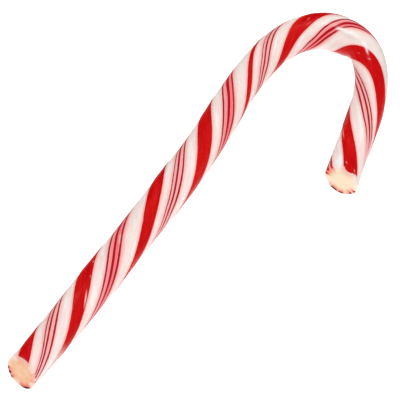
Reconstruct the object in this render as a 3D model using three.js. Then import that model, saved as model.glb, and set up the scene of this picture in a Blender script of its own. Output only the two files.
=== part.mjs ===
// A candy cane: one rod of pulled sugar, twisted while warm so that its red ribbons wind round it, then
// bent over at one end into a hook. It lies on its side, as it lay to cool: the shank runs along +Y from
// its foot, the hook is at the +Y end and turns over towards +X, and the cane rests on its flat underside.
//
// The solid is one skin of rings strung along the middle line of the rod. Each ring is the rod's section
// at that place, and each ring is turned a little further than the last, so the long edges of the skin
// follow the ribbons. Lengths are in millimetres and angles in degrees.

import * as THREE from 'three';

// ---- The rod -------------------------------------------------------------------------------------

const ROD_LENGTH = 210.4; // from foot to tip along the middle line

// A station is [distance from the foot, value]. The values run smoothly from station to station.

// Direction of the middle line seen from above: 90 is along +Y, and 0 is along +X.
const HEADING = [
  [0, 86], [30, 90], [60, 90], [85, 92], [106, 97], [119, 92.5], [129, 84.5],
  [139, 65], [149, 28], [159, -15.5], [168, -49], [178, -66], [192, -75], [ROD_LENGTH, -71.5],
];

// Thickness of the rod between its ribbons. It was pulled by hand, so it is uneven.
const THICKNESS = [
  [0, 9.8], [7, 9.6], [20, 10.1], [32, 10.4], [50, 10.1], [74, 10.3], [95, 9.9], [108, 9.4], [121, 9.05],
  [131, 9.1], [149, 10.05], [156, 9.95], [162, 9.5], [171, 9.1], [188, 9.4], [202, 9.4], [ROD_LENGTH, 9.8],
];

// How far the section has turned about the middle line since the foot.
const TWIST = [
  [0, 0], [20, 118], [45, 253], [75, 413], [100, 564], [115, 666], [130, 784],
  [145, 897], [160, 1021], [172, 1090], [190, 1188], [ROD_LENGTH, 1298],
];

// ---- The two red ribbons, which stand a little proud of the white ---------------------------------

const RIBBON_RELIEF = 0.16; // height of a ribbon above the white
const RIBBON_SHOULDER = 4; // half of the angle over which a ribbon's edge falls to the white

// Each ribbon's middle is an angle round the section, from the side that faces +X on the shank
// towards the top, before the twist is added.
const RIBBONS = [
  {
    middle: [
      [0, -77], [24, -77.5], [32, -79.5], [60, -80], [86, -77.5], [101, -80], [112, -78.5], [126, -73],
      [133, -67], [138, -67], [146, -75.5], [165, -75], [190, -80], [198, -80.3], [204, -82.2],
      [208, -87.3], [ROD_LENGTH, -95.5],
    ],
    width: [
      [0, 42], [24, 45], [32, 52], [40, 57], [60, 54], [86, 51], [101, 52], [126, 48], [133, 43],
      [138, 44], [146, 58], [165, 48], [190, 43], [198, 44], [204, 50.5], [208, 55.5], [ROD_LENGTH, 53],
    ],
  },
  {
    middle: [
      [0, 87], [20, 87], [45, 90], [60, 90], [66, 86.5], [75, 82], [85, 85], [95, 89.5], [112, 93.5],
      [119, 89.5], [125, 80.5], [130, 72], [145, 63], [155, 62.5], [162, 70], [166, 78], [170, 86.5],
      [174, 88.5], [178.5, 84.5], [184, 79.5], [195, 78], [ROD_LENGTH, 74],
    ],
    width: [
      [0, 44], [20, 46], [45, 44], [60, 41], [75, 46.5], [85, 42], [95, 33.5], [114, 22], [119, 19.5],
      [130, 13.5], [145, 29], [158, 50], [162, 60], [167, 65], [171, 59], [174, 54], [178.5, 52],
      [186, 56], [ROD_LENGTH, 57],
    ],
  },
];

// ---- The crease of the bend, the cut ends and the underside ---------------------------------------

// The rod folded in a little on the inside of its tightest bend.
const CREASE = {
  distance: 162, // where its deepest place is along the rod
  angle: -25, // and round the section: 0 is level, on the inside of the bend
  depth: 0.7,
  reach: 3.5, // how far it fades out along the rod
  spread: 45, // and round the section
};

const FLAT_DEPTH = 0.2; // how deep the underside was flattened where the warm rod lay

// A cut is moved along the rod, counted towards the tip, and leans: it is moved further for each
// millimetre to the side and to the top.
const FOOT_CUT = { move: -0.3, side: -0.084, top: 0.16 };
const TIP_CUT = { move: 0, side: -0.253, top: -0.058 };
const CUT_REACH = 12; // distance from a cut at which the rings stand square again
const CUT_UNEVENNESS = 0.07; // height of the small waves in a cut face
const CUT_FACE_RINGS = [0.55]; // radii of the inner rings of a cut face, as shares of its edge

// ---- Fineness of the skin -------------------------------------------------------------------------

const RING_COUNT = 141;
const WHITE_STEPS = 10; // strips across each white band
const MIDDLE_LINE_STEP = 0.2; // step along the rod at which its middle line is added up

const radians = THREE.MathUtils.degToRad;

// The value of a list of stations at a distance: a smooth curve through each station, with the slope
// there taken from its two neighbours.
function along(stations, distance) {
  const last = stations.length - 1;
  let left = 0;
  while (left < last - 1 && distance >= stations[left + 1][0]) left += 1;
  const slope = (index) => {
    const before = stations[Math.max(index - 1, 0)];
    const after = stations[Math.min(index + 1, last)];
    return (after[1] - before[1]) / (after[0] - before[0]);
  };
  const [x0, y0] = stations[left];
  const [x1, y1] = stations[left + 1];
  const span = x1 - x0;
  const t = (distance - x0) / span;
  const rise = t * t * (3 - 2 * t);
  const bendIn = t * (1 - t) * (1 - t) * span * slope(left);
  const bendOut = t * t * (t - 1) * span * slope(left + 1);
  return y0 + (y1 - y0) * rise + bendIn + bendOut;
}

// Points of the middle line in the horizontal plane, added up from its direction.
function middleLine() {
  const steps = Math.round(ROD_LENGTH / MIDDLE_LINE_STEP);
  const points = [new THREE.Vector2(0, 0)];
  for (let i = 0; i < steps; i += 1) {
    const heading = radians(along(HEADING, (i + 0.5) * MIDDLE_LINE_STEP));
    const ahead = new THREE.Vector2(Math.cos(heading), Math.sin(heading));
    points.push(points[i].clone().addScaledVector(ahead, MIDDLE_LINE_STEP));
  }
  return points;
}

// The turn from one angle to another, the short way round.
function turnBetween(angle, other) {
  return THREE.MathUtils.euclideanModulo(angle - other + 180, 360) - 180;
}

// How far the surface stands above the white at an angle round the section: the full relief on a
// ribbon, and a smooth fall to nothing over its shoulders.
function relief(distance, angle) {
  let height = 0;
  for (const ribbon of RIBBONS) {
    const fromMiddle = Math.abs(turnBetween(angle, along(ribbon.middle, distance)));
    const foot = along(ribbon.width, distance) / 2 + RIBBON_SHOULDER;
    const inside = THREE.MathUtils.smoothstep(foot - fromMiddle, 0, 2 * RIBBON_SHOULDER);
    height = Math.max(height, RIBBON_RELIEF * inside);
  }
  return height;
}

// Angles round the section at which a ring has its points: five over each ribbon, at its middle and
// at the top and foot of its shoulders, and even steps over the white between them.
function ringAngles(distance) {
  const angles = [];
  RIBBONS.forEach((ribbon, index) => {
    const middle = along(ribbon.middle, distance);
    const half = along(ribbon.width, distance) / 2;
    const top = half - RIBBON_SHOULDER;
    const foot = half + RIBBON_SHOULDER;
    angles.push(middle - foot, middle - top, middle, middle + top, middle + foot);
    const next = RIBBONS[(index + 1) % RIBBONS.length];
    const wrap = index + 1 === RIBBONS.length ? 360 : 0;
    const nextHalf = along(next.width, distance) / 2;
    const nextFoot = along(next.middle, distance) - nextHalf - RIBBON_SHOULDER + wrap;
    for (let i = 1; i < WHITE_STEPS; i += 1) {
      angles.push(THREE.MathUtils.lerp(middle + foot, nextFoot, i / WHITE_STEPS));
    }
  });
  return angles;
}

// The small waves of a cut face, which was snapped and not sawn.
function cutWave(angle, reach) {
  const wave = Math.sin(radians(3 * angle + 40)) + Math.sin(radians(5 * angle + 130)) / 2;
  return CUT_UNEVENNESS * wave * reach;
}

// How far a point of the ring is pushed along the rod by the nearer cut.
function cutShift(distance, side, top) {
  const push = (cut, away) => {
    const share = 1 - THREE.MathUtils.smoothstep(away, 0, CUT_REACH);
    return share * (cut.move + cut.side * side + cut.top * top);
  };
  return push(FOOT_CUT, distance) + push(TIP_CUT, ROD_LENGTH - distance);
}

// How deep the crease of the bend is at a place on the rod. The angle here counts the twist.
function creaseDepth(distance, turned) {
  const alongRod = (distance - CREASE.distance) / CREASE.reach;
  const aroundRod = turnBetween(turned, CREASE.angle) / CREASE.spread;
  return CREASE.depth * Math.exp(-alongRod * alongRod - aroundRod * aroundRod);
}

// A point of the rod: the share of the way out from the middle line, at an angle round the section.
function rodPoint(line, distance, sectionAngle, share) {
  const index = distance / MIDDLE_LINE_STEP;
  const near = Math.min(Math.floor(index), line.length - 2);
  const middle = line[near].clone().lerp(line[near + 1], index - near);
  const heading = radians(along(HEADING, distance));
  const ahead = new THREE.Vector2(Math.cos(heading), Math.sin(heading));
  const aside = new THREE.Vector2(ahead.y, -ahead.x);
  const thickness = along(THICKNESS, distance);
  const turned = sectionAngle + along(TWIST, distance);
  const skin = thickness / 2 + relief(distance, sectionAngle) - creaseDepth(distance, turned);
  const radius = share * skin;
  const side = radius * Math.cos(radians(turned));
  const top = radius * Math.sin(radians(turned));
  const atCut = distance === 0 || distance === ROD_LENGTH;
  const shift = cutShift(distance, side, top) + (atCut ? cutWave(turned, share) : 0);
  const place = middle.addScaledVector(aside, side).addScaledVector(ahead, shift);
  const height = Math.max(thickness / 2 - FLAT_DEPTH + top, 0);
  return new THREE.Vector3(place.x, place.y, height);
}

// The skin of the rod: side rings, then inner rings and a middle point that close each cut face.
function rodGeometry() {
  const line = middleLine();
  const positions = [];
  const triangles = [];
  const addPoint = (distance, angle, share) => {
    positions.push(...rodPoint(line, distance, angle, share).toArray());
    return positions.length / 3 - 1;
  };
  const addRing = (distance, share) => {
    return ringAngles(distance).map((angle) => addPoint(distance, angle, share));
  };
  const joinRings = (lower, upper) => {
    lower.forEach((corner, i) => {
      const j = (i + 1) % lower.length;
      triangles.push(corner, upper[i], lower[j], lower[j], upper[i], upper[j]);
    });
  };
  const closeEnd = (edge, distance, outward) => {
    let outer = edge;
    for (const share of CUT_FACE_RINGS) {
      const inner = addRing(distance, share);
      if (outward) joinRings(outer, inner);
      else joinRings(inner, outer);
      outer = inner;
    }
    const centre = addPoint(distance, 0, 0);
    outer.forEach((corner, i) => {
      const next = outer[(i + 1) % outer.length];
      if (outward) triangles.push(corner, centre, next);
      else triangles.push(next, centre, corner);
    });
  };
  let previous = addRing(0, 1);
  closeEnd(previous, 0, false);
  for (let i = 1; i < RING_COUNT; i += 1) {
    const distance = (ROD_LENGTH * i) / (RING_COUNT - 1);
    const ring = addRing(distance, 1);
    joinRings(previous, ring);
    previous = ring;
  }
  closeEnd(previous, ROD_LENGTH, true);
  const geometry = new THREE.BufferGeometry();
  geometry.setAttribute('position', new THREE.Float32BufferAttribute(positions, 3));
  geometry.setIndex(triangles);
  return geometry;
}

// Moves the cane so that the middle of its footprint is the origin.
function centreOnFootprint(geometry) {
  geometry.computeBoundingBox();
  const middle = geometry.boundingBox.getCenter(new THREE.Vector3());
  geometry.translate(-middle.x, -middle.y, 0);
}

function makeCane() {
  const geometry = rodGeometry();
  centreOnFootprint(geometry);
  geometry.computeVertexNormals();
  const sugar = new THREE.MeshStandardMaterial({ color: 0xf6e6e1, roughness: 0.3, metalness: 0 });
  const cane = new THREE.Mesh(geometry, sugar);
  cane.name = 'candy_cane';
  return cane;
}

const candyCane = new THREE.Group();
candyCane.add(makeCane());

export default candyCane;
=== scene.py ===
# %% [markdown]
# # A candy cane
#
# A candy cane is one rod of boiled sugar. White pulled sugar makes its body, and strips of red sugar are
# laid along it while it is warm. The rod is then pulled thin and twisted, so the strips wind round it, and
# one end is bent over into a hook. This lesson builds that rod the same way: first as a straight, untwisted
# rod with its strips, and then twisted and bent.
#
# The solid of the cane is already made, and it is loaded first. Everything here is fitted to it.

# %% Load the solid
import math

import bpy
import numpy as np
from mathutils import Matrix, Vector


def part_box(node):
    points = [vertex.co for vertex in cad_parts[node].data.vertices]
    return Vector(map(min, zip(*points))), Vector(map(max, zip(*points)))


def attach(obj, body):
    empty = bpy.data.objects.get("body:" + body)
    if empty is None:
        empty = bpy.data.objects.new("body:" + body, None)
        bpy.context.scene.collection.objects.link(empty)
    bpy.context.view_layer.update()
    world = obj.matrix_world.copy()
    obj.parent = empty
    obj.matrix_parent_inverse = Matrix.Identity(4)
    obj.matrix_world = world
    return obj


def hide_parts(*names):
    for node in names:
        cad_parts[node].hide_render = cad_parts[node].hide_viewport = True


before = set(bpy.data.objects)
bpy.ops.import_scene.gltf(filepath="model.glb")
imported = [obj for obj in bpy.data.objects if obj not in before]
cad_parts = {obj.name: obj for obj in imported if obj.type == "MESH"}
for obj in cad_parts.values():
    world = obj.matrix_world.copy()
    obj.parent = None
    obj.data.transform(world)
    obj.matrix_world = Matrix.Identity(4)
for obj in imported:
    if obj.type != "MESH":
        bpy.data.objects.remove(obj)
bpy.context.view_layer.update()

CANE = "candy_cane"
MM = 0.001  # the rod is worked out in millimetres, and Blender's unit is the metre

# %% [markdown]
# ## A curve through a few stations
#
# A hand-pulled rod is nowhere quite straight, round or evenly twisted. Its heading, its thickness and its
# twist are each given at a few stations along the rod, as pairs of a distance from the foot and a value.
# Between stations the value follows a smooth curve, whose slope at a station comes from its two neighbours.
# A spline object could do this too, but a small function also works on whole arrays of distances at once.

# %% Values along the rod
def along(stations, distance):
    """The value of a list of stations at each distance."""
    knots, values = np.array(stations, float).T
    order = np.arange(len(knots))
    before = np.maximum(order - 1, 0)
    after = np.minimum(order + 1, len(knots) - 1)
    slope = (values[after] - values[before]) / (knots[after] - knots[before])
    distance = np.asarray(distance, float)
    left = np.clip(np.searchsorted(knots, distance, side="right") - 1, 0, len(knots) - 2)
    span = knots[left + 1] - knots[left]
    t = (distance - knots[left]) / span
    rise = t * t * (3 - 2 * t)
    bend_in = t * (1 - t) ** 2 * span * slope[left]
    bend_out = t * t * (t - 1) * span * slope[left + 1]
    return values[left] + (values[left + 1] - values[left]) * rise + bend_in + bend_out


def smoothstep(value, low, high):
    """0 below low, 1 above high, and a smooth rise between them."""
    t = np.clip((value - low) / (high - low), 0, 1)
    return t * t * (3 - 2 * t)


# %% [markdown]
# ## The rod's own shape
#
# These stations are the ones that the solid was made from. A heading of 90 degrees runs along +Y and a
# heading of 0 along +X, so the long run of 90s is the shank and the fall to -70 is the hook. The twist says
# how far the section has turned since the foot: it winds about three and a half times in all.

# %% Heading, thickness and twist
ROD_LENGTH = 210.4
HEADING = [
    (0, 86), (30, 90), (60, 90), (85, 92), (106, 97), (119, 92.5), (129, 84.5),
    (139, 65), (149, 28), (159, -15.5), (168, -49), (178, -66), (192, -75), (ROD_LENGTH, -71.5),
]
THICKNESS = [
    (0, 9.8), (7, 9.6), (20, 10.1), (32, 10.4), (50, 10.1), (74, 10.3), (95, 9.9), (108, 9.4), (121, 9.05),
    (131, 9.1), (149, 10.05), (156, 9.95), (162, 9.5), (171, 9.1), (188, 9.4), (202, 9.4), (ROD_LENGTH, 9.8),
]
TWIST = [
    (0, 0), (20, 118), (45, 253), (75, 413), (100, 564), (115, 666), (130, 784),
    (145, 897), (160, 1021), (172, 1090), (190, 1188), (ROD_LENGTH, 1298),
]

print("turns from foot to tip:", round(TWIST[-1][1] / 360, 2))

# %% [markdown]
# ## The red sugar
#
# Two wide ribbons lie opposite each other, and between them lie two groups of three thin lines. A place
# round the rod is an angle on the untwisted section, so a strip that was laid straight keeps nearly the
# same angle all along, and the twist is added at the end. The strips were laid by hand, so each one
# wanders a little and changes in width.

# %% Ribbons and lines, as angles on the untwisted section
RIBBONS = [
    {
        "middle": [
            (0, -64), (4, -72), (10, -77), (24, -77.5), (32, -79.5), (60, -80), (86, -77.5), (101, -80),
            (112, -78.5), (126, -73), (133, -67), (138, -67), (146, -75.5), (165, -75), (190, -80),
            (198, -80.3), (204, -82.2), (208, -87.3), (ROD_LENGTH, -95.5),
        ],
        "width": [
            (0, 42), (24, 45), (32, 52), (40, 57), (60, 54), (86, 51), (101, 52), (126, 48), (133, 43),
            (138, 44), (146, 58), (165, 48), (190, 43), (198, 44), (204, 50.5), (208, 55.5), (ROD_LENGTH, 53),
        ],
    },
    {
        "middle": [
            (0, 87), (20, 87), (45, 90), (60, 90), (66, 86.5), (75, 82), (85, 85), (95, 89.5), (112, 93.5),
            (119, 89.5), (125, 80.5), (130, 72), (145, 63), (155, 62.5), (162, 70), (166, 78), (170, 86.5),
            (174, 88.5), (178.5, 84.5), (184, 79.5), (195, 78), (ROD_LENGTH, 74),
        ],
        "width": [
            (0, 44), (20, 46), (45, 44), (60, 41), (75, 46.5), (85, 42), (95, 33.5), (114, 22), (119, 19.5),
            (130, 13.5), (145, 29), (158, 50), (162, 60), (167, 65), (171, 59), (174, 54), (178.5, 52),
            (186, 56), (ROD_LENGTH, 57),
        ],
    },
]
# A line has its own stations: its angle from the middle of its group, and its width, in degrees. The sugar
# round the lines took up some of their dye: the pink is a share from 0 to 1 at angles from the middle of
# the group.
LINE_GROUPS = [
    {
        "middle": [
            (0, 11), (8, 13), (12, 12), (16, 9.7), (22, 7), (40, 12), (66, 22), (70, 18), (74, 15),
            (83, 10.5), (105, 15), (122, 29.5), (126, 25), (134, 21.5), (155, 10), (180, 9.5), (188, 9.5),
            (196, 12), (ROD_LENGTH, 13),
        ],
        "lines": [
            {
                "offset": [
                    (0, -19), (8, -19), (16, -17.5), (22, -16.5), (180, -16.5), (190, -18), (194, -15),
                    (206, -15), (209, -20), (ROD_LENGTH, -20),
                ],
                "width": [
                    (0, 4), (6, 7.2), (18, 6), (26, 4.4), (60, 6), (66, 6.5), (73, 7.8), (79, 5.6), (86, 5),
                    (94, 6), (174, 6), (181, 7.2), (188, 5.8), (195, 4.5), (199, 0), (208.5, 0), (209.7, 6),
                    (ROD_LENGTH, 6),
                ],
            },
            {
                "offset": [(0, 0), (ROD_LENGTH, 0)],
                "width": [
                    (0, 7.2), (10, 6.5), (78, 6.5), (85, 7.2), (94, 6.5), (184, 6.5), (192, 7.8), (196, 6.5),
                    (200, 0), (208.5, 0), (209.7, 7), (ROD_LENGTH, 7),
                ],
            },
            {
                "offset": [(0, 10.5), (8, 10.5), (14, 12.5), (180, 12), (190, 13), (ROD_LENGTH, 13)],
                "width": [
                    (0, 4), (20, 4), (60, 3.2), (70, 3.6), (84, 2.9), (120, 3.4), (133, 2.8), (172, 4.2),
                    (181, 4.2), (187, 4.6), (195, 5), (199, 0), (ROD_LENGTH, 0),
                ],
            },
        ],
        "pink": [(-32, 0), (-20, 0.5), (6, 0.6), (16, 0.5), (26, 0.1), (36, 0)],
    },
    {
        "middle": [
            (0, -150), (18, -163), (36, -170.3), (46, -170), (52, -169.3), (60, -172.5), (75, -172),
            (90, -168), (96, -167), (104, -173), (110, -178), (116, -175.5), (130, -171), (142, -165),
            (146, -170.5), (151, -175), (153, -174), (155, -167), (157.5, -164), (160, -162), (162, -152),
            (164.5, -146), (169, -147), (176, -155), (200, -181), (ROD_LENGTH, -185),
        ],
        "lines": [
            {
                "offset": [
                    (0, -18), (100, -19), (104, -21.5), (110, -17.5), (114, -20.5), (120, -18), (150, -17),
                    (154, -20.5), (160, -17), (ROD_LENGTH, -18),
                ],
                "width": [
                    (0, 7.5), (30, 7.5), (37, 8.8), (43, 8.2), (49, 5.6), (56, 6.4), (90, 7.2), (97, 7.4),
                    (103, 8), (109, 5.8), (115, 6.6), (124, 7.6), (145, 9.2), (151, 9.6), (157, 8),
                    (ROD_LENGTH, 7),
                ],
            },
            {
                "offset": [(0, 0), (ROD_LENGTH, 0)],
                "width": [
                    (0, 10), (24, 9), (31, 7.9), (37, 9.2), (43, 9), (49, 7.6), (56, 9.2), (97, 8),
                    (103, 10.2), (109, 9.6), (114, 12.4), (120, 10.5), (142, 8.6), (146, 8.8), (151, 11.8),
                    (157, 13.8), (161, 10), (204, 8), (ROD_LENGTH, 13),
                ],
            },
            {
                "offset": [
                    (0, 18.5), (94, 18.5), (100, 20.5), (106, 20.5), (111, 22.5), (122, 19), (142, 21),
                    (146, 18.5), (154, 27), (158, 18.5), (ROD_LENGTH, 20),
                ],
                "width": [
                    (0, 6.5), (20, 5.6), (26, 5), (36, 6.2), (55, 6), (90, 4.4), (97, 6), (109, 6.2),
                    (124, 6.5), (145, 6.8), (151, 8.8), (157, 9), (163, 6.5), (200, 6.5), (205, 9),
                    (ROD_LENGTH, 9),
                ],
            },
        ],
        "pink": [
            (-44, 0), (-34, 0.2), (-26, 0.6), (-20, 0.85), (-10, 1), (2, 0.95), (9, 0.82), (20, 0.62),
            (26, 0.38), (32, 0.15), (40, 0),
        ],
    },
]


def turn_between(angle, other):
    """The turn from one angle to another, the short way round, in degrees."""
    return (angle - other + 180) % 360 - 180


# %% [markdown]
# ## How deep a place lies inside the red
#
# A hard edge painted on the points of a mesh is only as sharp as the mesh is fine. Instead each point
# stores how many millimetres it lies inside the nearest ribbon, or outside it as a number below zero. Such
# a depth changes evenly from point to point, so a material can cut it anywhere and get a clean edge.

# %% Depths in millimetres
DEGREE = math.pi / 180  # an arc in mm is the radius times the angle times this
MIDDLE_RADIUS = 5.0
# The red flaked off before the tip: how many mm of it are gone, at angles round the first ribbon.
FLAKED = [(-150, -3), (-132, -3), (-124, 0.0), (-106, 0.05), (-95, 0.35), (-85, 0.8), (-72, 1.25), (-50, 1.3)]


def ribbon_depth(distance, angle):
    """Millimetres inside the nearest ribbon, and below zero outside."""
    depth = np.full(np.shape(angle), -np.inf)
    for ribbon in RIBBONS:
        from_middle = np.abs(turn_between(angle, along(ribbon["middle"], distance)))
        inside = along(ribbon["width"], distance) / 2 - from_middle
        depth = np.maximum(depth, inside * DEGREE * MIDDLE_RADIUS)
    round_rod = turn_between(angle, 0)
    near = np.clip(round_rod, FLAKED[0][0], FLAKED[-1][0])
    left = ROD_LENGTH - along(FLAKED, near) - distance
    return np.where(round_rod < 0, np.minimum(depth, left), depth)


def line_depth(distance, angle):
    """Millimetres inside the nearest thin line, and below zero outside."""
    depth = np.full(np.shape(angle), -np.inf)
    for group in LINE_GROUPS:
        middle = along(group["middle"], distance)
        for line in group["lines"]:
            from_line = np.abs(turn_between(angle, middle + along(line["offset"], distance)))
            inside = along(line["width"], distance) / 2 - from_line
            depth = np.maximum(depth, inside * DEGREE * MIDDLE_RADIUS)
    return depth


def pinkness(distance, angle):
    """How pink the sugar is that lies between and beside the lines, from 0 to 1."""
    pink = np.zeros(np.shape(angle))
    for group in LINE_GROUPS:
        first, last = group["pink"][0][0], group["pink"][-1][0]
        across = np.clip(turn_between(angle, along(group["middle"], distance)), first, last)
        pink = np.maximum(pink, np.clip(along(group["pink"], across), 0, 1))
    return pink


# %% [markdown]
# ## The skin close up
#
# Pulled sugar is smooth but never even. The ribbons stand a little proud of the white, the lines less so,
# and fine ridges run the length of the rod because it was pulled. Broad swellings come from the hands that
# rolled it. All of this is real height in the mesh, from smooth random fields with fixed seeds, so the same
# cane comes out every time.

# %% Smooth random heights
def uneven(distance, angle, cell, cells_round, seed):
    """Heights from -1 to 1: a random one every cell millimetres along and cells_round times round."""
    rows = int(ROD_LENGTH / cell) + 4
    lattice = np.random.default_rng(seed).uniform(-1, 1, (rows, cells_round))
    row = np.clip(distance / cell + 1, 0, rows - 2)
    column = (angle % 360) / 360 * cells_round
    i, j = np.floor(row).astype(int), np.floor(column).astype(int)
    u, v = smoothstep(row - i, 0, 1), smoothstep(column - j, 0, 1)
    near = lattice[i, j % cells_round] * (1 - v) + lattice[i, (j + 1) % cells_round] * v
    far = lattice[i + 1, j % cells_round] * (1 - v) + lattice[i + 1, (j + 1) % cells_round] * v
    return near * (1 - u) + far * u


RIBBON_RELIEF = 0.16
RIBBON_SHOULDER = 4  # half of the angle over which a ribbon's edge falls to the white
LINE_RELIEF = 0.03
LINE_SHOULDER = 0.15  # half of the mm over which a line's edge falls to the white
# Each field of unevenness: height in mm, length and count of its cells, and seed.
UNEVENNESS = [(0.045, 8.0, 6, 11), (0.02, 12.0, 24, 12), (0.012, 9.0, 60, 13)]


def skin_height(distance, angle):
    """Millimetres that the skin stands above the plain round rod."""
    shoulder = RIBBON_SHOULDER * DEGREE * MIDDLE_RADIUS
    height = RIBBON_RELIEF * smoothstep(ribbon_depth(distance, angle), -shoulder, shoulder)
    height = height + LINE_RELIEF * smoothstep(line_depth(distance, angle), -LINE_SHOULDER, LINE_SHOULDER)
    for tall, cell, cells_round, seed in UNEVENNESS:
        height = height + tall * uneven(distance, angle, cell, cells_round, seed)
    return height


# %% [markdown]
# ## Blisters, the crease and the fold
#
# Small bubbles of air rise to the skin of the warm sugar and leave pale blisters. Some were drawn out with
# the rod into short pale streaks, so a blister is placed on the untwisted section, as the ribbons are.
# Where the rod was bent most tightly its inside folded in a little. The skin above the crease wrinkled into
# one low fold with a hollow on its inner side. A painted highlight lies white along the crest of the fold,
# and painted shade greys the hollow. These came after the twist, so their angles count the twist: 90 is the
# top and 0 is the inside of the hook.

# %% Blisters, the crease and the fold
# A blister: distance, angle, radius along and round in mm, height in mm, and how pale it is. One with no
# height is only pale: a worn place near the foot, a pale spot on the inside of the hook, and a streak
# near the tip.
BLISTER_RIM = 1.4  # where a blister has faded away, counted in its own radii
BLISTERS = [
    (7.5, -68, 5.00, 1.90, 0.00, 0.95),
    (27.3, -95.5, 2.40, 0.24, 0.02, 0.90),
    (34.2, -103, 0.45, 0.20, 0.04, 0.35),
    (39.6, -103, 0.35, 0.25, 0.04, 0.60),
    (50.0, 178, 1.90, 0.24, 0.02, 0.80),
    (145.0, -79, 0.35, 0.35, 0.05, 0.25),
    (165.8, 78, 0.35, 0.30, 0.04, 0.20),
    (169.2, 89, 0.35, 0.30, 0.05, 0.60),
    (167.0, 44, 0.50, 0.45, 0.00, 0.70),
    (196.6, -93.5, 2.40, 0.20, 0.00, 0.50),
    (207.6, -104, 0.28, 0.22, 0.05, 0.50),
    (208.4, -76, 0.30, 0.30, 0.05, 0.60),
]
CREASE = {"distance": 162, "angle": -25, "depth": 0.7, "reach": 3.5, "spread": 45}
FOLD = {
    "path": [
        (151, 66), (154, 67), (155.2, 70), (157.2, 70), (158.6, 73), (160, 74), (161.6, 81), (163.4, 85),
        (164.8, 86), (167, 83), (171, 80),
    ],
    "strength": [
        (151, 0), (152.8, 0), (154, 1), (157, 1), (159, 0.4), (162, 0.4), (163.3, 1), (166.3, 1),
        (168, 0), (171, 0),
    ],
    "half_width": [(151, 0.3), (154, 0.36), (158, 0.24), (161, 0.24), (164, 0.42), (167, 0.2), (171, 0.2)],
    "height": 0.12,
}
HOLLOW = {"distance": 158.0, "beside": -1.1, "depth": 0.38, "reach": 3.5, "half_width": 0.85}
# Patches of the skin with painted shade on the outside of the hook and with a painted highlight near the
# tip: distance, angle, reach in mm, spread in degrees and strength.
PAINTED_SHADE_PATCH = (172, 155, 9.0, 38, 0.9)
PAINTED_HIGHLIGHT_PATCH = (207.5, 76, 3.0, 14, 1.0)


def blister_shape(distance, angle, spot):
    """1 in the middle of a blister, falling smoothly to 0 at its rim."""
    place, middle, radius_along, radius_round = spot
    arc = turn_between(angle, middle) * DEGREE * MIDDLE_RADIUS
    away = np.hypot((distance - place) / radius_along, arc / radius_round)
    return 1 - smoothstep(away, 0, BLISTER_RIM)


def crease_depth(distance, turned):
    """Millimetres that the skin is folded in on the inside of the bend."""
    along_rod = (distance - CREASE["distance"]) / CREASE["reach"]
    around_rod = turn_between(turned, CREASE["angle"]) / CREASE["spread"]
    return CREASE["depth"] * np.exp(-along_rod**2 - around_rod**2)


def beside_fold(distance, turned):
    """Millimetres round the rod from the crest of the fold, and below zero on its inner side."""
    near = np.clip(distance, FOLD["path"][0][0], FOLD["path"][-1][0])
    return turn_between(turned, along(FOLD["path"], near)) * DEGREE * MIDDLE_RADIUS


def fold_crest(distance, turned):
    """1 on the crest of the fold, falling smoothly to 0 beside it and past its ends."""
    near = np.clip(distance, FOLD["path"][0][0], FOLD["path"][-1][0])
    strength = np.clip(along(FOLD["strength"], near), 0, 1)
    half_width = along(FOLD["half_width"], near)
    return strength * np.exp(-((beside_fold(distance, turned) / half_width) ** 2))


def fold_hollow(distance, turned):
    """1 in the middle of the hollow beside the fold, falling smoothly to 0."""
    along_rod = (distance - HOLLOW["distance"]) / HOLLOW["reach"]
    around_rod = (beside_fold(distance, turned) - HOLLOW["beside"]) / HOLLOW["half_width"]
    return np.exp(-along_rod**2 - around_rod**2)


def patch(distance, turned, patch_place):
    """The strength of a patch of the skin in its middle, falling smoothly to 0."""
    place, middle, reach, spread, strength = patch_place
    around_rod = turn_between(turned, middle) / spread
    return strength * np.exp(-(((distance - place) / reach) ** 2) - around_rod**2)


# %% [markdown]
# ## Rows of points from the foot to the tip
#
# The cane's skin is a net of points: columns run along the rod and follow its twist, and rows run round it.
# The snapped ends belong to the same net. Each end has a flat face, whose rows shrink towards its middle,
# and a rounded rim, whose rows step through a quarter circle. A row holds its distance from the foot, how
# far it is set in from the skin, and how much of the face's radius it has.

# %% Lay out the rows
COLUMNS = 180
ROW_STEP = 0.46
SIDE_START = 1.4  # where the side's plain rows start, just past the widest rim
FACE_RINGS = 9
RIM_STEPS = 6

# An end's rim: its radius in mm, how much more it has on its widest side, where that is, and a seed.
RIMS = {"foot": (0.50, 0.25, 60, 21), "tip": (0.38, 0.12, -60, 22)}
RIM_WAVE = 0.12
RIM_CELLS = (10, 17)  # the length in mm and the count round the rod of the wave's cells

angles = np.arange(COLUMNS) * 360 / COLUMNS


def rim_radius(end):
    """The radius of the rounded rim at each column, in mm: uneven, because the end was snapped."""
    radius, more, widest, seed = RIMS[end]
    turned = angles + along(TWIST, 0 if end == "foot" else ROD_LENGTH)
    wave = uneven(np.zeros(COLUMNS), turned, *RIM_CELLS, seed)
    return radius + more * np.cos(np.radians(turned - widest)) + RIM_WAVE * wave


def end_rows(end):
    """Rows of one end, from the middle of its face out to the side: distances, insets and shares."""
    rim = rim_radius(end)
    rows = []
    for ring in range(1, FACE_RINGS):
        rows.append((np.zeros(COLUMNS), rim, ring / FACE_RINGS))
    for step in range(RIM_STEPS + 1):
        turn = math.pi / 2 * step / RIM_STEPS
        rows.append((rim * (1 - math.cos(turn)), rim * (1 - math.sin(turn)), 1.0))
    return rows


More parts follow.
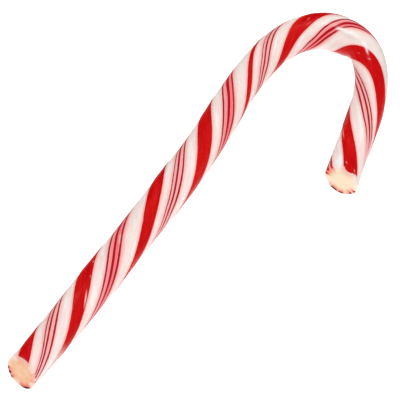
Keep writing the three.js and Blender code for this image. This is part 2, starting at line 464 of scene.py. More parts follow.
foot_rows = end_rows("foot")
tip_rows = [(ROD_LENGTH - away, inset, share) for away, inset, share in reversed(end_rows("tip"))]
side_count = round((ROD_LENGTH - 2 * SIDE_START) / ROW_STEP)
side_rows = [
    (np.full(COLUMNS, place), np.zeros(COLUMNS), 1.0)
    for place in np.linspace(SIDE_START, ROD_LENGTH - SIDE_START, side_count)
]
rows = foot_rows + side_rows + tip_rows
distance = np.array([row[0] for row in rows])
inset = np.array([row[1] for row in rows])
share = np.array([row[2] for row in rows])[:, None]
angle = np.broadcast_to(angles, distance.shape)

print("net of", len(rows), "rows and", COLUMNS, "columns")

# %% [markdown]
# ## Twist it, bend it and lay it down
#
# Now the straight rod becomes the cane. The angle on the section turns by the twist, the middle line is
# added up from the heading in short steps, and each point is set out to the side of that line and up. The
# two cuts lean, so the rows near an end are pushed along the rod, less and less up to 12 mm away. The
# underside is pressed flat where the warm rod lay on the slab.

# %% Place every point
LINE_STEP = 0.2
FLAT_DEPTH = 0.2
CUT_REACH = 12
FOOT_CUT = {"move": -0.3, "side": -0.084, "top": 0.16}
TIP_CUT = {"move": 0, "side": -0.253, "top": -0.058}
CUT_UNEVENNESS = 0.07
CUT_WAVES = [(3, 40, 1), (5, 130, 0.5)]  # how many waves go round a cut, their start and their share
WAVE_REACH = 1.5  # how far from the rim the waves of a cut face fade out on the side
# The grain of a snapped face: its height, the mm its cells count from middle to rim, and for each field
# its share, the length and count of its cells, and its seed.
GRAIN_HEIGHT = 0.03
GRAIN_SPAN = 40
GRAIN_FADE = 0.1  # the share of the face's radius over which the grain fades out at the rim
GRAIN_FIELDS = [(1, 5, 14, 31), (0.5, 2.5, 30, 32)]


def middle_line(distance):
    """X and y of the middle line at each distance."""
    steps = round(ROD_LENGTH / LINE_STEP)
    heading = np.radians(along(HEADING, (np.arange(steps) + 0.5) * LINE_STEP))
    knots = np.arange(steps + 1) * LINE_STEP
    line_x = np.concatenate([[0], np.cumsum(np.cos(heading))]) * LINE_STEP
    line_y = np.concatenate([[0], np.cumsum(np.sin(heading))]) * LINE_STEP
    return np.interp(distance, knots, line_x), np.interp(distance, knots, line_y)


def cut_shift(away, cut, side, top, turned, reach):
    """How far a cut pushes each point along the rod, counted towards the tip."""
    lean = cut["move"] + cut["side"] * side + cut["top"] * top
    wave = sum(part * np.sin(np.radians(count * turned + start)) for count, start, part in CUT_WAVES)
    near = 1 - smoothstep(away, 0, WAVE_REACH)
    return (1 - smoothstep(away, 0, CUT_REACH)) * lean + CUT_UNEVENNESS * wave * reach * near


def face_grain(turned, share):
    """The fine roughness of a snapped face, in mm."""
    on_face = smoothstep(1 - share, 0, GRAIN_FADE)
    grain = sum(part * uneven(share * GRAIN_SPAN, turned, *cells) for part, *cells in GRAIN_FIELDS)
    return GRAIN_HEIGHT * on_face * grain


turned = angle + along(TWIST, distance)
thickness = along(THICKNESS, distance)
skin = thickness / 2 + skin_height(distance, angle) - crease_depth(distance, turned)
skin = skin + FOLD["height"] * fold_crest(distance, turned) - HOLLOW["depth"] * fold_hollow(distance, turned)
for *spot, tall, _ in BLISTERS:
    skin = skin + tall * blister_shape(distance, angle, spot)
radius = share * (skin - inset)
side = radius * np.cos(np.radians(turned))
top = radius * np.sin(np.radians(turned))
reach = radius / skin
shift = cut_shift(distance, FOOT_CUT, side, top, turned, reach)
shift = shift + cut_shift(ROD_LENGTH - distance, TIP_CUT, side, top, turned, reach)
shift = shift + face_grain(turned, share)
heading = np.radians(along(HEADING, distance))
line_x, line_y = middle_line(distance)
x = line_x + np.sin(heading) * side + np.cos(heading) * shift
y = line_y - np.cos(heading) * side + np.sin(heading) * shift
z = np.maximum(thickness / 2 - FLAT_DEPTH + top, 0)

print("skin from", round(skin.min(), 2), "to", round(skin.max(), 2), "mm from the middle line")

# %% [markdown]
# The rod was set out from its foot. The solid's origin is the middle of its footprint, so the net is moved
# until the middle of its own box lies where the middle of the solid's box is.

# %% Fit it to the solid
low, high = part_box(CANE)
points = np.stack([x, y, z], axis=-1) * MM
box_middle = (points.reshape(-1, 3).min(0) + points.reshape(-1, 3).max(0)) / 2
solid_middle = (np.array(low) + np.array(high)) / 2
points[..., :2] += (solid_middle - box_middle)[:2]

print("moved by", np.round((solid_middle - box_middle)[:2] / MM, 2), "mm")

# %% [markdown]
# ## Make the mesh
#
# The net becomes one closed mesh: a quad between each two rows and columns, and a fan of triangles round
# the middle point of each face. The two faces at the ends get the second material slot.

# %% Faces of the net
row_count = len(rows)
face_row_count = FACE_RINGS - 1  # rows that lie on a face, inside its rim


def number(row, column):
    """The number of the point at a row and a column."""
    return row * COLUMNS + column % COLUMNS


vertices = points.reshape(-1, 3)
foot_middle = points[0].mean(axis=0)
tip_middle = points[-1].mean(axis=0)
vertices = np.vstack([vertices, foot_middle, tip_middle])
foot_number = row_count * COLUMNS
tip_number = foot_number + 1

faces = []
for row in range(row_count - 1):
    for column in range(COLUMNS):
        faces.append((
            number(row, column), number(row, column + 1),
            number(row + 1, column + 1), number(row + 1, column),
        ))
for column in range(COLUMNS):
    faces.append((foot_number, number(0, column + 1), number(0, column)))
for column in range(COLUMNS):
    faces.append((tip_number, number(row_count - 1, column), number(row_count - 1, column + 1)))

mesh = bpy.data.meshes.new(CANE + "_pulled")
mesh.from_pydata(vertices.tolist(), [], faces)
mesh.shade_smooth()
cane = bpy.data.objects.new("pulled_cane", mesh)
bpy.context.scene.collection.objects.link(cane)

triangles = sum(len(face) - 2 for face in faces)
print("mesh of", len(vertices), "points and", triangles, "triangles")

# %% [markdown]
# ## What the materials need to know
#
# Each point stores where it lay on the straight, untwisted rod, which is what a grain that follows the
# pull is drawn on, the depths inside ribbons and lines, the pink, the pale blisters, a painted highlight on
# the fold and near the tip, painted shade in the hollow and on the outside of the hook, and how far it lies
# from the rim on a snapped face. The red layer broke off unevenly at the ends, so its thickness in mm round
# each end is stored too, with how far each point lies on the underside, where the slivers get painted shade.

# %% Store it on the points
# Painted highlight near the tip, kept clear of the red; painted shade in the hollow and under the slivers.
CLEAR_OF_RED = 0.7  # mm outside a ribbon where the brighter sugar has its full strength
HOLLOW_SHADE = 0.6  # how grey the middle of the hollow is
UNDERSIDE = (-0.1, 0.5)  # where the underside starts and where it is full, in radii below the middle
# The thickness of the red layer at angles round each end, which count the twist.
RED_LAYER = {
    "foot": [
        (-180, 0.3), (-166, 0.7), (-158, 0.4), (-151, 1.1), (-141, 0.5), (-133, 0.8), (-122, 0.2), (-92, 0.2),
        (-82, 0.5), (-60, 0.75), (-46, 0.5), (-38, 0.1), (180, 0.1),
    ],
    "tip": [
        (-180, 0.1), (-158, 0.2), (-150, 0.8), (-142, 0.3), (-130, 0.9), (-118, 0.2), (-99, 0.3),
        (-92, 0.9), (-82, 0.7), (-76, 0.15), (-70, 0.8), (-56, 0.9), (-47, 0.2), (-5, 0.1), (5, 0.9),
        (22, 0.9), (30, 0.4), (60, 0.3), (70, 0.1), (180, 0.1),
    ],
}


def layer_round(end, turned):
    """Thickness of the red layer round an end, in mm."""
    places, thicknesses = zip(*RED_LAYER[end])
    return np.interp(turn_between(turned, 0), places, thicknesses)


straight = np.stack([
    radius * np.cos(np.radians(angle)), radius * np.sin(np.radians(angle)), distance,
], axis=-1)
face_depth = np.where(share < 1, (1 - share) * (skin - inset) + inset, inset)
pale = np.zeros(distance.shape)
for *spot, _, paleness in BLISTERS:
    pale = np.maximum(pale, paleness * blister_shape(distance, angle, spot))
clear_of_red = smoothstep(-ribbon_depth(distance, angle), 0, CLEAR_OF_RED)
# Painted highlight: white on the crest of the fold and in a patch near the tip.
painted_highlight = np.maximum(fold_crest(distance, turned), patch(distance, turned, PAINTED_HIGHLIGHT_PATCH) * clear_of_red)
# Painted shade: grey in the hollow beside the fold and on the outside of the hook.
shaded = np.maximum(HOLLOW_SHADE * fold_hollow(distance, turned), patch(distance, turned, PAINTED_SHADE_PATCH))
# Painted shade: the red slivers of the ends grow darker towards the underside.
underside = smoothstep(-np.sin(np.radians(turned)), *UNDERSIDE)
red_layer = np.where(
    distance < ROD_LENGTH / 2, layer_round("foot", turned), layer_round("tip", turned),
)


def store(name, values, middles, kind="FLOAT"):
    """Adds a named value to every point; middles are its values at the two middle points."""
    attribute = mesh.attributes.new(name, kind, "POINT")
    flat = np.concatenate([values.reshape(row_count * COLUMNS, -1), middles], axis=0)
    field = "vector" if kind == "FLOAT_VECTOR" else "value"
    attribute.data.foreach_set(field, flat.astype(np.float32).ravel())


FAR_OUTSIDE = -2.0
store("straight", straight, [[0, 0, 0], [0, 0, ROD_LENGTH]], "FLOAT_VECTOR")
store("ribbon_depth", ribbon_depth(distance, angle), [[FAR_OUTSIDE], [FAR_OUTSIDE]])
store("line_depth", line_depth(distance, angle), [[FAR_OUTSIDE], [FAR_OUTSIDE]])
store("pinkness", pinkness(distance, angle), [[0], [0]])
store("pale", pale, [[0], [0]])
store("painted_highlight", painted_highlight, [[0], [0]])
store("shaded", shaded, [[0], [0]])
store("red_layer", red_layer, [[0], [0]])
store("underside", underside, [[0], [0]])
store("face_depth", face_depth, [[MIDDLE_RADIUS], [MIDDLE_RADIUS]])

print("stored:", [a.name for a in mesh.attributes if not a.name.startswith(".")])

# %% [markdown]
# ## A flat layout of the skin
#
# Whoever paints or bakes the cane needs its skin laid out flat. The side is cut into three strips that
# stand next to each other, and the two end faces are discs below them.

# %% Lay the skin out flat
STRIPS = 3
MARGIN = 0.006
STRIP_LOW = 0.13
DISC_RADIUS = 0.055
DISC_MIDDLE_Y = 0.063
FOOT_DISC_X = 0.25
TIP_DISC_X = 0.75
first_side_row = face_row_count
last_side_row = row_count - 1 - face_row_count
strip_edges = np.linspace(first_side_row, last_side_row, STRIPS + 1).round().astype(int)

layout = mesh.uv_layers.new(name="OFBake")
coordinates = []
for row in range(row_count - 1):
    on_side = first_side_row <= row < last_side_row
    strip = int(np.clip(np.searchsorted(strip_edges, row, side="right") - 1, 0, STRIPS - 1))
    strip_rows = strip_edges[strip + 1] - strip_edges[strip]
    for column in range(COLUMNS):
        for row_step, column_step in ((0, 0), (0, 1), (1, 1), (1, 0)):
            if on_side:
                u = (strip + MARGIN + (1 - 2 * MARGIN) * (column + column_step) / COLUMNS) / STRIPS
                v = STRIP_LOW + (1 - STRIP_LOW - MARGIN) * (row + row_step - strip_edges[strip]) / strip_rows
            else:
                foot_face = row < first_side_row
                at_row = row + row_step
                out = at_row + 1 if foot_face else row_count - at_row
                turn = (column + column_step) * 2 * math.pi / COLUMNS
                spread = DISC_RADIUS * out / FACE_RINGS
                u = (FOOT_DISC_X if foot_face else TIP_DISC_X) + spread * math.cos(turn)
                v = DISC_MIDDLE_Y + spread * math.sin(turn)
            coordinates.extend((u, v))
for middle_u, order in ((FOOT_DISC_X, (1, 0)), (TIP_DISC_X, (0, 1))):
    for column in range(COLUMNS):
        coordinates.extend((middle_u, DISC_MIDDLE_Y))
        for column_step in order:
            turn = (column + column_step) * 2 * math.pi / COLUMNS
            spread = DISC_RADIUS / FACE_RINGS
            coordinates.extend((middle_u + spread * math.cos(turn), DISC_MIDDLE_Y + spread * math.sin(turn)))
layout.data.foreach_set("uv", coordinates)

print("layout spans", round(min(coordinates), 3), "to", round(max(coordinates), 3))

# %% [markdown]
# ## Small helpers for materials
#
# A material is a graph of nodes. These helpers add one node each, join its inputs to sockets or set them
# to plain numbers, and give back its output, so that a material reads like a recipe.

# %% Node helpers
def wire(tree, value, socket):
    """Joins a socket to an input, or sets a plain number or colour on it."""
    if isinstance(value, bpy.types.NodeSocket):
        tree.links.new(value, socket)
    else:
        socket.default_value = value


def maths(tree, operation, *values):
    """One sum, product or the like, of up to three values."""
    node = tree.nodes.new("ShaderNodeMath")
    node.operation = operation
    for socket, value in zip(node.inputs, values):
        wire(tree, value, socket)
    return node.outputs[0]


def fade(tree, value, start, end, low=0.0, high=1.0):
    """A smooth change from low to high as value goes from start to end."""
    node = tree.nodes.new("ShaderNodeMapRange")
    node.interpolation_type = "SMOOTHSTEP"
    for socket, given in zip(node.inputs, (value, start, end, low, high)):
        wire(tree, given, socket)
    return node.outputs["Result"]


def blend(tree, amount, first, second):
    """The first colour, or the second where amount is 1."""
    node = tree.nodes.new("ShaderNodeMix")
    node.data_type = "RGBA"
    wire(tree, amount, node.inputs["Factor"])
    wire(tree, first, node.inputs[6])
    wire(tree, second, node.inputs[7])
    return node.outputs[2]


def stored(tree, name, output="Fac"):
    """A value that the mesh stores on its points."""
    node = tree.nodes.new("ShaderNodeAttribute")
    node.attribute_name = name
    return node.outputs[output]


def noise(tree, vector, scale, detail=2.0, roughness=0.5):
    """Smooth random values about 0.5, in cells of one divided by scale."""
    node = tree.nodes.new("ShaderNodeTexNoise")
    wire(tree, vector, node.inputs["Vector"])
    wire(tree, scale, node.inputs["Scale"])
    wire(tree, detail, node.inputs["Detail"])
    wire(tree, roughness, node.inputs["Roughness"])
    return node.outputs["Fac"]


def new_group(name, inputs, outputs):
    """An empty node group with named sockets. Gives its tree, its inputs and its output node."""
    tree = bpy.data.node_groups.new(name, "ShaderNodeTree")
    kinds = {"value": "NodeSocketFloat", "vector": "NodeSocketVector"}
    for socket_name, kind in inputs:
        tree.interface.new_socket(socket_name, in_out="INPUT", socket_type=kinds[kind])
    for socket_name, kind in outputs:
        tree.interface.new_socket(socket_name, in_out="OUTPUT", socket_type=kinds[kind])
    return tree, tree.nodes.new("NodeGroupInput").outputs, tree.nodes.new("NodeGroupOutput")


def use_group(tree, group, **values):
    """Places a group with its own values and gives its outputs."""
    node = tree.nodes.new("ShaderNodeGroup")
    node.node_tree = group
    for name, value in values.items():
        wire(tree, value, node.inputs[name])
    return node.outputs


# %% [markdown]
# ## Streaks that follow the pull
#
# Pulling folds air and faint colour into the sugar and draws them out into streaks along the rod. The
# group stretches a noise along the straight rod, so its streaks wind with the twist. Skin and snapped ends
# both use it, with their own sizes, for colour, gloss and fine height.

# %% Group: pulled streaks
streak_group, given, result = new_group(
    "pulled_streaks",
    [("Place", "vector"), ("Across", "value"), ("Along", "value"), ("Shift", "value")],
    [("Streak", "value")],
)
apart = streak_group.nodes.new("ShaderNodeSeparateXYZ")
wire(streak_group, given["Place"], apart.inputs[0])
together = streak_group.nodes.new("ShaderNodeCombineXYZ")
for axis in ("X", "Y"):
    squeezed = maths(streak_group, "DIVIDE", apart.outputs[axis], given["Across"])
    wire(streak_group, squeezed, together.inputs[axis])
stretched = maths(streak_group, "DIVIDE", apart.outputs["Z"], given["Along"])
wire(streak_group, maths(streak_group, "ADD", stretched, given["Shift"]), together.inputs["Z"])
field = noise(streak_group, together.outputs[0], scale=1.0, detail=2.0, roughness=0.55)
wire(streak_group, fade(streak_group, field, start=0.32, end=0.68), result.inputs["Streak"])

print("made", streak_group.name)

# %% [markdown]
# ## Specks
#
# Tiny crystals and bubbles make hard sugar a little uneven from one grain to the next. A fine noise picks
# the grains out, and the amount says how strongly they show. White and red sugar both use it.

# %% Group: sugar specks
speck_group, given, result = new_group(
    "sugar_specks",
    [("Place", "vector"), ("Scale", "value"), ("Amount", "value")],
    [("Speck", "value")],
)
grains = fade(speck_group, noise(speck_group, given["Place"], given["Scale"]), start=0.42, end=0.62)
wire(speck_group, maths(speck_group, "MULTIPLY", grains, given["Amount"]), result.inputs["Speck"])

print("made", speck_group.name)

# %% [markdown]
# ## Dye that bleeds
#
# Where red sugar meets white, its edge shows as a thin darker line, because the dye gathers there, and a
# little dye soaks on into the white as a pink halo. One group turns a depth into these three masks. The
# ribbons and the thin lines both use it.

# %% Group: bled edge
edge_group, given, result = new_group(
    "bled_edge",
    [("Depth", "value"), ("Softness", "value"), ("Rim", "value"), ("Halo", "value")],
    [("Ink", "value"), ("Rim", "value"), ("Halo", "value")],
)
below = maths(edge_group, "MULTIPLY", given["Softness"], -1.0)
wire(edge_group, fade(edge_group, given["Depth"], below, given["Softness"]), result.inputs["Ink"])
rim = fade(edge_group, given["Depth"], 0.0, given["Rim"], low=1.0, high=0.0)
wire(edge_group, rim, result.inputs["Rim"])
outside = maths(edge_group, "MULTIPLY", given["Halo"], -1.0)
wire(edge_group, fade(edge_group, given["Depth"], outside, 0.0), result.inputs["Halo"])

print("made", edge_group.name)

# %% [markdown]
# ## The surface of hard sugar
#
# Pulled sugar has a soft gloss. The streaks that colour it also vary its gloss a little, and a faint grain
# stands in relief on it. This group gives a roughness and a height for a bump.

# %% Group: sugar surface
surface_group, given, result = new_group(
    "sugar_surface",
    [("Place", "vector"), ("Smooth", "value"), ("Dull", "value")],
    [("Roughness", "value"), ("Height", "value")],
)
long_grain = use_group(
    surface_group, streak_group, Place=given["Place"], Across=0.35, Along=7.0, Shift=4.0,
)["Streak"]
specks = noise(surface_group, given["Place"], scale=2.2, detail=3.0, roughness=0.6)
worn = maths(surface_group, "MULTIPLY", maths(surface_group, "ADD", long_grain, specks), 0.5)
roughness = fade(surface_group, worn, start=0.2, end=0.8, low=given["Smooth"], high=given["Dull"])
wire(surface_group, roughness, result.inputs["Roughness"])
fine = maths(surface_group, "MULTIPLY", specks, 0.35)
wire(surface_group, maths(surface_group, "ADD", long_grain, fine), result.inputs["Height"])

print("made", surface_group.name)

# %% [markdown]
# ## The striped skin
#
# White sugar with a warm cast comes first, with faint cream, green-grey and pink streaks, some brighter
# patches, fine grey specks, and painted shade in the hollow beside the fold and on the outside of the hook.
# The pink between the lines and the halo round the red lie over it, then the lines, then the ribbons with
# their own specks and darker edges, and last the pale blisters and a painted highlight on the crest of the
# fold and near the tip. Sugar lets a little light in, so the skin has some subsurface scattering, which
# softens the shadows of the relief.

# %% Material: striped skin
WHITE = (1.0, 0.81, 0.77, 1)
CREAM = (0.96, 0.84, 0.70, 1)
GREEN_GREY = (0.80, 0.80, 0.72, 1)
ROSE = (0.97, 0.72, 0.71, 1)
BRIGHT_STREAK_AND_HIGHLIGHT = (1.0, 0.98, 0.95, 1)
GREY_SPECKS_AND_SHADE = (0.76, 0.70, 0.65, 1)
HALO_PINK = (0.97, 0.42, 0.38, 1)
LINE_PINK = (1.0, 0.19, 0.21, 1)
LINE_RED = (0.52, 0.004, 0.010, 1)
LINE_EDGE = (0.25, 0.003, 0.018, 1)
RED = (0.64, 0.001, 0.003, 1)
SCARLET = (0.77, 0.006, 0.003, 1)
DEEP_RED = (0.50, 0.0, 0.003, 1)
EDGE_RED = (0.34, 0.0, 0.006, 1)
PALE = (0.97, 0.74, 0.69, 1)

SCATTER_RADIUS = (1.0, 0.35, 0.25)
SPECK_SCALE = 2.4
EDGE_WANDER = 0.14  # mm from one side to the other that the edges of the red wander
# Faint streaks in the white: tint, size across and along the rod in mm, shift and strength.
WHITE_STREAKS = [
    (CREAM, 0.9, 12.0, 1.0, 0.5), (GREEN_GREY, 0.7, 8.0, 7.0, 0.5), (ROSE, 0.8, 9.0, 13.0, 0.5),
    (GREEN_GREY, 0.45, 1.6, 17.0, 0.25), (ROSE, 0.5, 2.0, 19.0, 0.3),
]


def new_material(name):
    """A material with only an output, its tree, and a Principled shader joined to it."""
    material = bpy.data.materials.new(name)
    material.use_nodes = True
    tree = material.node_tree
    tree.nodes.clear()
    output = tree.nodes.new("ShaderNodeOutputMaterial")
    shader = tree.nodes.new("ShaderNodeBsdfPrincipled")
    tree.links.new(shader.outputs[0], output.inputs["Surface"])
    return material, tree, shader


def sugar_shader(tree, shader, colour, surface):
    """What skin and snapped ends share: sugar's gloss, its scattering and its fine height."""
    wire(tree, colour, shader.inputs["Base Color"])
    wire(tree, surface["Roughness"], shader.inputs["Roughness"])
    shader.inputs["Specular IOR Level"].default_value = 0.25
    shader.inputs["Subsurface Weight"].default_value = 0.2
    shader.inputs["Subsurface Radius"].default_value = SCATTER_RADIUS
    shader.inputs["Subsurface Scale"].default_value = 0.5 * MM
    bump = tree.nodes.new("ShaderNodeBump")
    bump.inputs["Strength"].default_value = 0.25
    bump.inputs["Distance"].default_value = 0.03 * MM
    wire(tree, surface["Height"], bump.inputs["Height"])
    wire(tree, bump.outputs[0], shader.inputs["Normal"])


def white_sugar(tree, place):
    """The colour of the white sugar, streaked and patched."""
    colour = WHITE
    for tint, across, length, move, strength in WHITE_STREAKS:
        streak = use_group(tree, streak_group, Place=place, Across=across, Along=length, Shift=move)["Streak"]
        colour = blend(tree, maths(tree, "MULTIPLY", fade(tree, streak, 0.45, 1.0), strength), colour, tint)
    bright = use_group(tree, streak_group, Place=place, Across=2.2, Along=9.0, Shift=21.0)["Streak"]
    colour = blend(tree, maths(tree, "MULTIPLY", fade(tree, bright, 0.6, 1.0), 0.6), colour, BRIGHT_STREAK_AND_HIGHLIGHT)
    specks = use_group(tree, speck_group, Place=place, Scale=SPECK_SCALE, Amount=0.22)["Speck"]
    return blend(tree, specks, colour, GREY_SPECKS_AND_SHADE)


skin_material, tree, shader = new_material("striped_sugar_skin")
place = stored(tree, "straight", "Vector")
colour = white_sugar(tree, place)
# Painted shade in the hollow beside the fold and on the outside of the hook.
colour = blend(tree, stored(tree, "shaded"), colour, GREY_SPECKS_AND_SHADE)
colour = blend(tree, stored(tree, "pinkness"), colour, LINE_PINK)

uneven_edge = noise(tree, place, scale=0.9, detail=2.0)
wander = maths(tree, "MULTIPLY_ADD", uneven_edge, EDGE_WANDER, -EDGE_WANDER / 2)
lines = use_group(
    tree, edge_group, Depth=maths(tree, "ADD", stored(tree, "line_depth"), wander),
    Softness=0.05, Rim=0.3, Halo=0.3,
)
ribbons = use_group(
    tree, edge_group, Depth=maths(tree, "ADD", stored(tree, "ribbon_depth"), wander),
    Softness=0.05, Rim=0.3, Halo=1.0,
)
colour = blend(tree, maths(tree, "MULTIPLY", lines["Halo"], 0.25), colour, HALO_PINK)
colour = blend(tree, maths(tree, "MULTIPLY", ribbons["Halo"], 0.9), colour, HALO_PINK)
colour = blend(tree, lines["Ink"], colour, blend(tree, lines["Rim"], LINE_RED, LINE_EDGE))

broad = use_group(tree, streak_group, Place=place, Across=1.6, Along=10.0, Shift=30.0)["Streak"]
narrow = use_group(tree, streak_group, Place=place, Across=0.4, Along=12.0, Shift=40.0)["Streak"]
red = blend(tree, broad, RED, SCARLET)
red = blend(tree, maths(tree, "MULTIPLY", narrow, 0.5), red, DEEP_RED)
specks = use_group(tree, speck_group, Place=place, Scale=SPECK_SCALE, Amount=0.35)["Speck"]
red = blend(tree, specks, red, DEEP_RED)
red = blend(tree, maths(tree, "MULTIPLY", ribbons["Rim"], 0.8), red, EDGE_RED)
colour = blend(tree, ribbons["Ink"], colour, red)
colour = blend(tree, stored(tree, "pale"), colour, PALE)
# A painted highlight on the crest of the fold and in a patch near the tip.
colour = blend(tree, stored(tree, "painted_highlight"), colour, BRIGHT_STREAK_AND_HIGHLIGHT)

surface = use_group(tree, surface_group, Place=place, Smooth=0.16, Dull=0.28)
sugar_shader(tree, shader, colour, surface)

print("made", skin_material.name, "with", len(tree.nodes), "nodes")

# %% [markdown]
# ## The snapped ends
#
# A snapped end shows the body of the rod: warm, peach to cream, and duller than the skin. The red sugar is
# only a thin layer, so it shows as slivers along the rim, with a glow of dye in the body next to them. The
# slivers carry painted shade, which makes them nearly black on the underside.

# %% Material: snapped end
PEACH = (0.93, 0.50, 0.29, 1)
CREAM_CORE = (0.96, 0.78, 0.56, 1)
GLOW = (0.88, 0.14, 0.09, 1)
SHADED_SLIVER_RED = (0.09, 0.002, 0.003, 1)
CORE_WANDER = 3.0  # mm from one side to the other that the edge of the peach core wanders

end_material, tree, shader = new_material("snapped_end")
place = stored(tree, "straight", "Vector")
apart = tree.nodes.new("ShaderNodeSeparateXYZ")
wire(tree, place, apart.inputs[0])
at_tip = fade(tree, apart.outputs["Z"], ROD_LENGTH * 0.4, ROD_LENGTH * 0.6)
core = blend(tree, at_tip, PEACH, CREAM_CORE)
creamy = use_group(tree, streak_group, Place=place, Across=2.0, Along=3.0, Shift=50.0)["Streak"]
core = blend(tree, maths(tree, "MULTIPLY", creamy, 0.4), core, CREAM_CORE)
uneven_core = noise(tree, place, scale=0.45, detail=1.0)
wander = maths(tree, "MULTIPLY_ADD", uneven_core, CORE_WANDER, -CORE_WANDER / 2)
core_depth = maths(tree, "ADD", stored(tree, "face_depth"), wander)
rim_share = fade(tree, core_depth, start=0.0, end=1.9, low=0.7, high=0.0)
core = blend(tree, rim_share, core, white_sugar(tree, place))
ribbons = use_group(tree, edge_group, Depth=stored(tree, "ribbon_depth"), Softness=0.08, Rim=0.3, Halo=1.5)
lines = use_group(tree, edge_group, Depth=stored(tree, "line_depth"), Softness=0.08, Rim=0.2, Halo=0.8)
red_here = maths(tree, "MAXIMUM", ribbons["Ink"], lines["Ink"])
glow_here = maths(tree, "MAXIMUM", ribbons["Halo"], lines["Halo"])
glow_reach = fade(tree, stored(tree, "face_depth"), start=0.4, end=2.7, low=1.0, high=0.0)
thick_layer = fade(tree, stored(tree, "red_layer"), start=0.1, end=0.5, low=0.4, high=1.0)
glow_reach = maths(tree, "MULTIPLY", glow_reach, thick_layer)
core = blend(tree, maths(tree, "MULTIPLY", glow_here, glow_reach), core, GLOW)
past_layer = maths(tree, "SUBTRACT", stored(tree, "face_depth"), stored(tree, "red_layer"))
layer = fade(tree, past_layer, start=0.0, end=0.15, low=1.0, high=0.0)
# Painted shade: the slivers turn nearly black on the underside.
layer_colour = blend(tree, stored(tree, "underside"), DEEP_RED, SHADED_SLIVER_RED)
core = blend(tree, maths(tree, "MULTIPLY", red_here, layer), core, layer_colour)
surface = use_group(tree, surface_group, Place=place, Smooth=0.38, Dull=0.55)
sugar_shader(tree, shader, core, surface)

print("made", end_material.name, "with", len(tree.nodes), "nodes")

# %% [markdown]
# The first and the last quads of the mesh belong to the snapped ends and their rims. So do the two fans,
# which come after all the quads.

# %% Give the materials to the faces
mesh.materials.append(skin_material)
mesh.materials.append(end_material)
face_slots = np.zeros(len(faces), dtype=np.int32)
quads = (row_count - 1) * COLUMNS
rim_faces = face_row_count + RIM_STEPS
face_slots[: rim_faces * COLUMNS] = 1
face_slots[quads - rim_faces * COLUMNS :] = 1
mesh.polygons.foreach_set("material_index", face_slots)
mesh.update()

# %% [markdown]
# ## Tie it to the solid
#
# The mesh stands for the solid, which is then hidden. It rides on the only body there is.

# %% Tie it to the solid
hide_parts(CANE)
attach(cane, "root")

# %% [markdown]
# ## Floor
#
# A wide white sheet, so bright that it runs out to plain white, as on a light table. Only what the lens
# sees is that bright. The light it throws back on the cane is weaker, and the cane's gloss doesn't mirror it.
# The gloss mirrors a glowing panel far below instead, which is brightest straight down. It pales the red
# along the rod's lower edge, where the skin turns away, and hardly reaches its upper edge.

# %% Floor and panel
def stage_sheet(name, size, height):
    """A level square sheet that isn't part of the cane. Gives it and its empty material."""
    half = size / 2
    corners = [(-half, -half, 0), (half, -half, 0), (half, half, 0), (-half, half, 0)]
    sheet_mesh = bpy.data.meshes.new(name)
    sheet_mesh.from_pydata(corners, [], [(0, 1, 2, 3)])
    sheet = bpy.data.objects.new(name, sheet_mesh)
    sheet.location.z = height
    bpy.context.scene.collection.objects.link(sheet)
    material = bpy.data.materials.new(name + "_light")
    material.use_nodes = True
    material.node_tree.nodes.clear()
    sheet_mesh.materials.append(material)
    return sheet, material


FLOOR_SIZE = 3.0
FLOOR_HEIGHT = -0.02 * MM  # just under the cane, so that the two don't share a plane
GLOW_THROWN = 0.34
GLOW_SEEN = 0.75

floor, material = stage_sheet("floor", FLOOR_SIZE, FLOOR_HEIGHT)
floor.visible_glossy = False
tree = material.node_tree
output = tree.nodes.new("ShaderNodeOutputMaterial")
paper = tree.nodes.new("ShaderNodeBsdfDiffuse")
paper.inputs["Color"].default_value = (0.9, 0.9, 0.9, 1)
glow = tree.nodes.new("ShaderNodeEmission")
glow.inputs["Color"].default_value = (1, 1, 1, 1)
seen = tree.nodes.new("ShaderNodeLightPath").outputs["Is Camera Ray"]
wire(tree, fade(tree, seen, start=0.0, end=1.0, low=GLOW_THROWN, high=GLOW_SEEN), glow.inputs["Strength"])
both = tree.nodes.new("ShaderNodeAddShader")
tree.links.new(paper.outputs[0], both.inputs[0])
tree.links.new(glow.outputs[0], both.inputs[1])
tree.links.new(both.outputs[0], output.inputs["Surface"])

PANEL_SIZE = 12.0
PANEL_DEPTH = 1.0
PANEL_STRENGTH = 1.3

panel, material = stage_sheet("panel_below", PANEL_SIZE, -PANEL_DEPTH)
panel.visible_camera = False
panel.visible_diffuse = False
panel.visible_transmission = False
panel.visible_shadow = False
material.cycles.emission_sampling = "NONE"  # it is found by mirrored rays alone
tree = material.node_tree
output = tree.nodes.new("ShaderNodeOutputMaterial")
from_middle = tree.nodes.new("ShaderNodeVectorMath")
from_middle.operation = "LENGTH"
wire(tree, tree.nodes.new("ShaderNodeTexCoord").outputs["Object"], from_middle.inputs[0])
slant = maths(tree, "DIVIDE", from_middle.outputs["Value"], PANEL_DEPTH)
dimming = maths(tree, "MULTIPLY_ADD", slant, slant, 1.0)
glow = tree.nodes.new("ShaderNodeEmission")
wire(tree, maths(tree, "DIVIDE", PANEL_STRENGTH, dimming), glow.inputs["Strength"])
tree.links.new(glow.outputs[0], output.inputs["Surface"])

# %% [markdown]
# ## Camera
#
# The cane is seen from far off through a very long lens, so nearer and farther parts keep the same size.
# The lens looks down at 50 degrees from a little to the right of the shank's own line.

# %% Camera
LENS = 1600  # mm
SENSOR = 36  # mm
FRAME_WIDTH = 108.73 * MM  # how much the lens takes in from side to side, at the cane
AZIMUTH = math.radians(31.5)
ELEVATION = math.radians(50)
AIM_RIGHT = -6.99 * MM
AIM_UP = 7.34 * MM
FARTHEST = 20.0

right = Vector((math.cos(AZIMUTH), math.sin(AZIMUTH), 0))
back = Vector((
    math.sin(AZIMUTH) * math.cos(ELEVATION), -math.cos(AZIMUTH) * math.cos(ELEVATION), math.sin(ELEVATION),
))
up = back.cross(right)

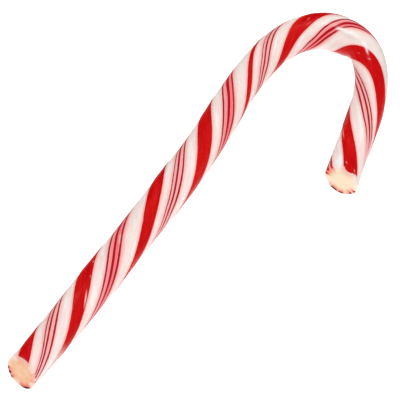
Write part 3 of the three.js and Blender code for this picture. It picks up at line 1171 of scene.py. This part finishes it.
camera_data = bpy.data.cameras.new("camera")
camera_data.lens = LENS
camera_data.sensor_width = SENSOR
camera_data.clip_end = FARTHEST
camera = bpy.data.objects.new("camera", camera_data)
bpy.context.scene.collection.objects.link(camera)
away = FRAME_WIDTH * LENS / SENSOR
turn = Matrix((right, up, back)).transposed().to_4x4()
camera.matrix_world = Matrix.Translation(right * AIM_RIGHT + up * AIM_UP + back * away) @ turn
bpy.context.scene.camera = camera

print("camera", round(away, 3), "m away")

# %% [markdown]
# ## Light
#
# The light is soft and comes from all round, brighter from the front and below than from behind. One small
# soft box high behind the cane draws the bright streak along the top of the hook.

# %% Light
SKY = 0.86  # the sky's middle strength
SKY_SLOPE = 0.48  # how much stronger it is on its bright side, and weaker on its dim one
BRIGHT_FROM = Vector((0.75, -0.50, 0.43)).normalized()

world = bpy.data.worlds.new("soft_room")
bpy.context.scene.world = world
world.use_nodes = True
tree = world.node_tree
tree.nodes.clear()
output = tree.nodes.new("ShaderNodeOutputWorld")
sky = tree.nodes.new("ShaderNodeBackground")
direction = tree.nodes.new("ShaderNodeTexCoord").outputs["Generated"]
facing = tree.nodes.new("ShaderNodeVectorMath")
facing.operation = "DOT_PRODUCT"
wire(tree, direction, facing.inputs[0])
facing.inputs[1].default_value = BRIGHT_FROM
wire(tree, maths(tree, "MULTIPLY_ADD", facing.outputs["Value"], SKY_SLOPE, SKY), sky.inputs["Strength"])
tree.links.new(sky.outputs[0], output.inputs["Surface"])
world.cycles_visibility.glossy = False  # the gloss of the cane mirrors the lamps alone

HOOK_MIDDLE = Vector((0.0, 0.062, 0.008))  # metres


def soft_box(name, direction, along_box, distance, length, width, energy):
    """A rectangular lamp that faces the hook from a direction, with its length along another one."""
    data = bpy.data.lights.new(name, "AREA")
    data.shape = "RECTANGLE"
    data.size = length
    data.size_y = width
    data.energy = energy
    lamp = bpy.data.objects.new(name, data)
    bpy.context.scene.collection.objects.link(lamp)
    back = Vector(direction).normalized()
    across = back.cross(Vector(along_box)).normalized()
    turn = Matrix((across.cross(back), across, back)).transposed().to_4x4()
    lamp.matrix_world = Matrix.Translation(HOOK_MIDDLE + back * distance) @ turn


soft_box(
    "soft_box_behind", direction=(-0.31, 0.17, 0.93), along_box=(-0.15, 0.27, -0.12),
    distance=1.8, length=0.54, width=0.21, energy=7.2,
)

bpy.context.scene.view_settings.view_transform = "Standard"
